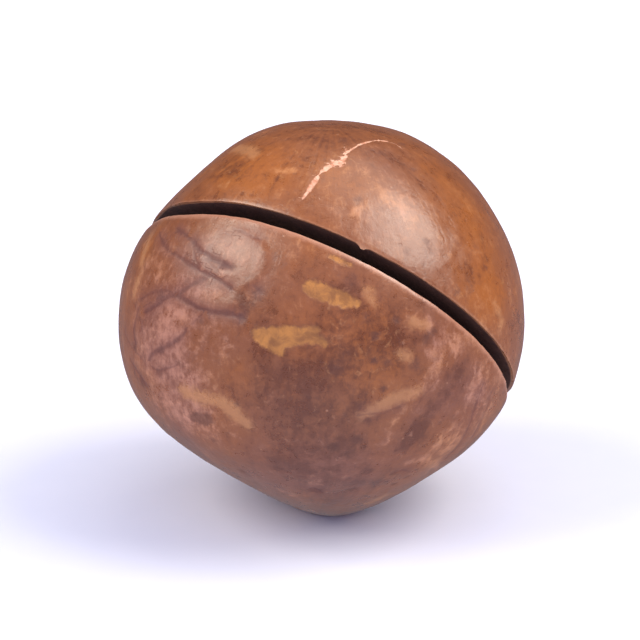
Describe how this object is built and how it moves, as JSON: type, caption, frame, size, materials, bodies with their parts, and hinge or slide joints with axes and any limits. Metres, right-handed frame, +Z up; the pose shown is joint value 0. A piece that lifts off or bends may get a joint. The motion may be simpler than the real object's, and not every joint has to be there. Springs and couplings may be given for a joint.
{
  "type": "macadamia nut in shell",
  "caption": "Round macadamia nut in its hard brown shell, with a narrow saw slit through the shell wall and the loose kernel inside. Rests on a small flat spot.",
  "frame": {"origin": "middle of the small flat spot that the nut rests on", "axes": "+Z up, square to the flat spot; the front of the nut, where the saw slit shows, faces -Y"},
  "size_m": [0.0254, 0.0253, 0.0249],
  "materials": {
    "shell_wood": "smooth hard nutshell, satin, reddish brown with tan and ochre patches and fine dark cracks",
    "kernel_flesh": null
  },
  "bodies": {
    "root": {"shell": "shell_wood", "kernel": "kernel_flesh"}
  },
  "joints": []
}
